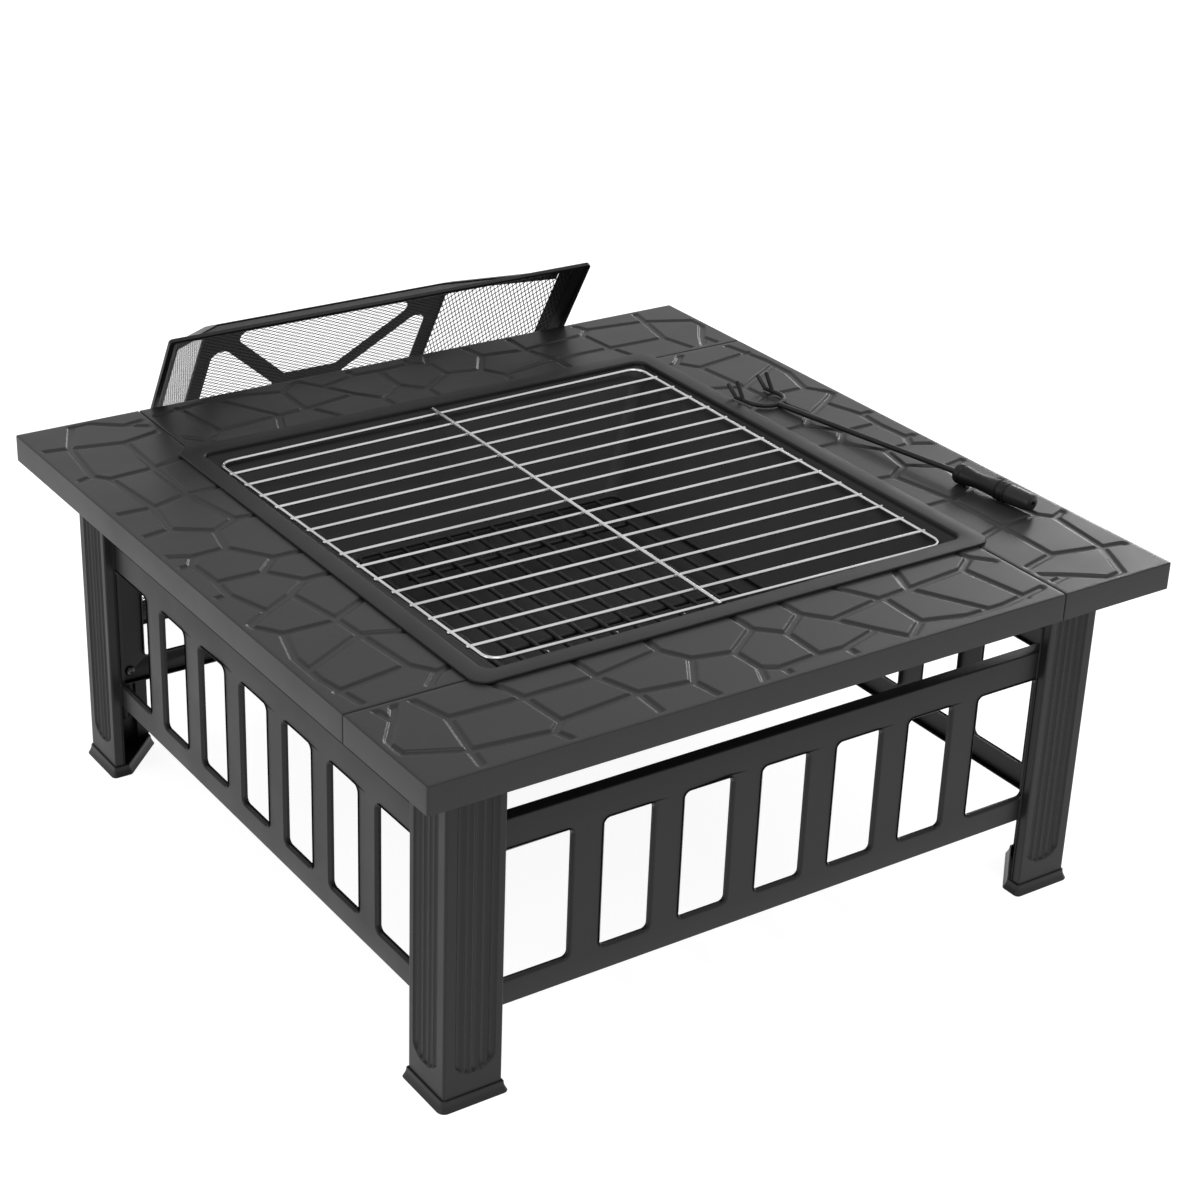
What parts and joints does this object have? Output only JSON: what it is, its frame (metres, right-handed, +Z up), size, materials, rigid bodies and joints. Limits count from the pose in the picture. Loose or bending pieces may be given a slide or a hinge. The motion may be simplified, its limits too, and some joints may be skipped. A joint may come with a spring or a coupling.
{
  "type": "fire pit table with cooking grill",
  "caption": "Square black steel fire pit table with a drop-in fire bowl, chrome cooking grill, charcoal grate, spark screen leaning on its back edge and a poker.",
  "frame": {"origin": "on the floor under the middle of the table", "axes": "+Z up; the leaning spark screen is on the +Y side and the poker on the +X side; front is -Y"},
  "size_m": [0.81, 1.044, 0.4481],
  "materials": {
    "pressed_top_coat": "black powder coat, low sheen",
    "black_powder_coat": "black powder coat, satin",
    "black_plastic": "black moulded plastic, satin",
    "black_zinc": "black zinc",
    "black_enamel": "black high-temperature enamel, semi-gloss",
    "chrome_wire": "bright chrome plate",
    "black_wire": "black high-temperature paint",
    "screen_coat": "black high-temperature paint, satin",
    "screen_mesh": "black painted expanded mesh",
    "knob_black": "black heat-proof plastic",
    "screw_zinc": "zinc plate",
    "poker_coat": "black paint, satin",
    "grip_rubber": "black rubber, satin",
    "cap_plastic": "black moulded plastic"
  },
  "bodies": {
    "table": {"tabletop_panel_front": "pressed_top_coat", "tabletop_panel_right": "pressed_top_coat", "tabletop_panel_back": "pressed_top_coat", "tabletop_panel_left": "pressed_top_coat", "seam_bolt_front": "black_zinc", "seam_bolt_right": "black_zinc", "seam_bolt_back": "black_zinc", "seam_bolt_left": "black_zinc", "leg_front_left": "black_powder_coat", "leg_front_right": "black_powder_coat", "leg_back_right": "black_powder_coat", "leg_back_left": "black_powder_coat", "leg_bolt_front_left": "black_zinc", "leg_bolt_front_right": "black_zinc", "leg_bolt_back_right": "black_zinc", "leg_bolt_back_left": "black_zinc", "foot_front_left": "black_plastic", "foot_front_right": "black_plastic", "foot_back_right": "black_plastic", "foot_back_left": "black_plastic", "slatted_panel_front": "black_powder_coat", "slatted_panel_right": "black_powder_coat", "slatted_panel_back": "black_powder_coat", "slatted_panel_left": "black_powder_coat", "panel_bolt_front_first_lower": "black_zinc", "panel_bolt_front_first_upper": "black_zinc", "panel_bolt_front_second_lower": "black_zinc", "panel_bolt_front_second_upper": "black_zinc", "panel_bolt_right_first_lower": "black_zinc", "panel_bolt_right_first_upper": "black_zinc", "panel_bolt_right_second_lower": "black_zinc", "panel_bolt_right_second_upper": "black_zinc", "panel_bolt_back_first_lower": "black_zinc", "panel_bolt_back_first_upper": "black_zinc", "panel_bolt_back_second_lower": "black_zinc", "panel_bolt_back_second_upper": "black_zinc", "panel_bolt_left_first_lower": "black_zinc", "panel_bolt_left_first_upper": "black_zinc", "panel_bolt_left_second_lower": "black_zinc", "panel_bolt_left_second_upper": "black_zinc"},
    "bowl": {"fire_bowl": "black_enamel"},
    "grill": {"cooking_grill": "chrome_wire"},
    "grate": {"charcoal_grate": "black_wire"},
    "screen": {"screen_base_ring": "screen_coat", "screen_post_front_left": "screen_coat", "screen_post_front_right": "screen_coat", "screen_post_back_right": "screen_coat", "screen_post_back_left": "screen_coat", "screen_top_plate": "screen_coat", "screen_mesh_front": "screen_mesh", "screen_mesh_right": "screen_mesh", "screen_mesh_back": "screen_mesh", "screen_mesh_left": "screen_mesh", "screen_mesh_top": "screen_mesh", "screen_knob": "knob_black", "screen_knob_screw": "screw_zinc"},
    "poker": {"poker_rod_and_claw": "poker_coat", "poker_grip": "grip_rubber", "poker_end_cap": "cap_plastic"}
  },
  "joints": [
    {"name": "bowl_lift", "type": "slide", "parent": "table", "child": "bowl", "axis": [0, 0, 1], "range_m": [0, 0.2]},
    {"name": "grill_lift", "type": "slide", "parent": "bowl", "child": "grill", "axis": [0, 0, 1], "range_m": [0, 0.2]},
    {"name": "grate_lift", "type": "slide", "parent": "bowl", "child": "grate", "axis": [0, 0, 1], "range_m": [0, 0.07]},
    {"name": "screen_lift", "type": "slide", "parent": "table", "child": "screen", "axis": [0, 0, 1], "range_m": [0, 0.3]},
    {"name": "poker_lift", "type": "slide", "parent": "table", "child": "poker", "axis": [0, 0, 1], "range_m": [0, 0.2]}
  ]
}
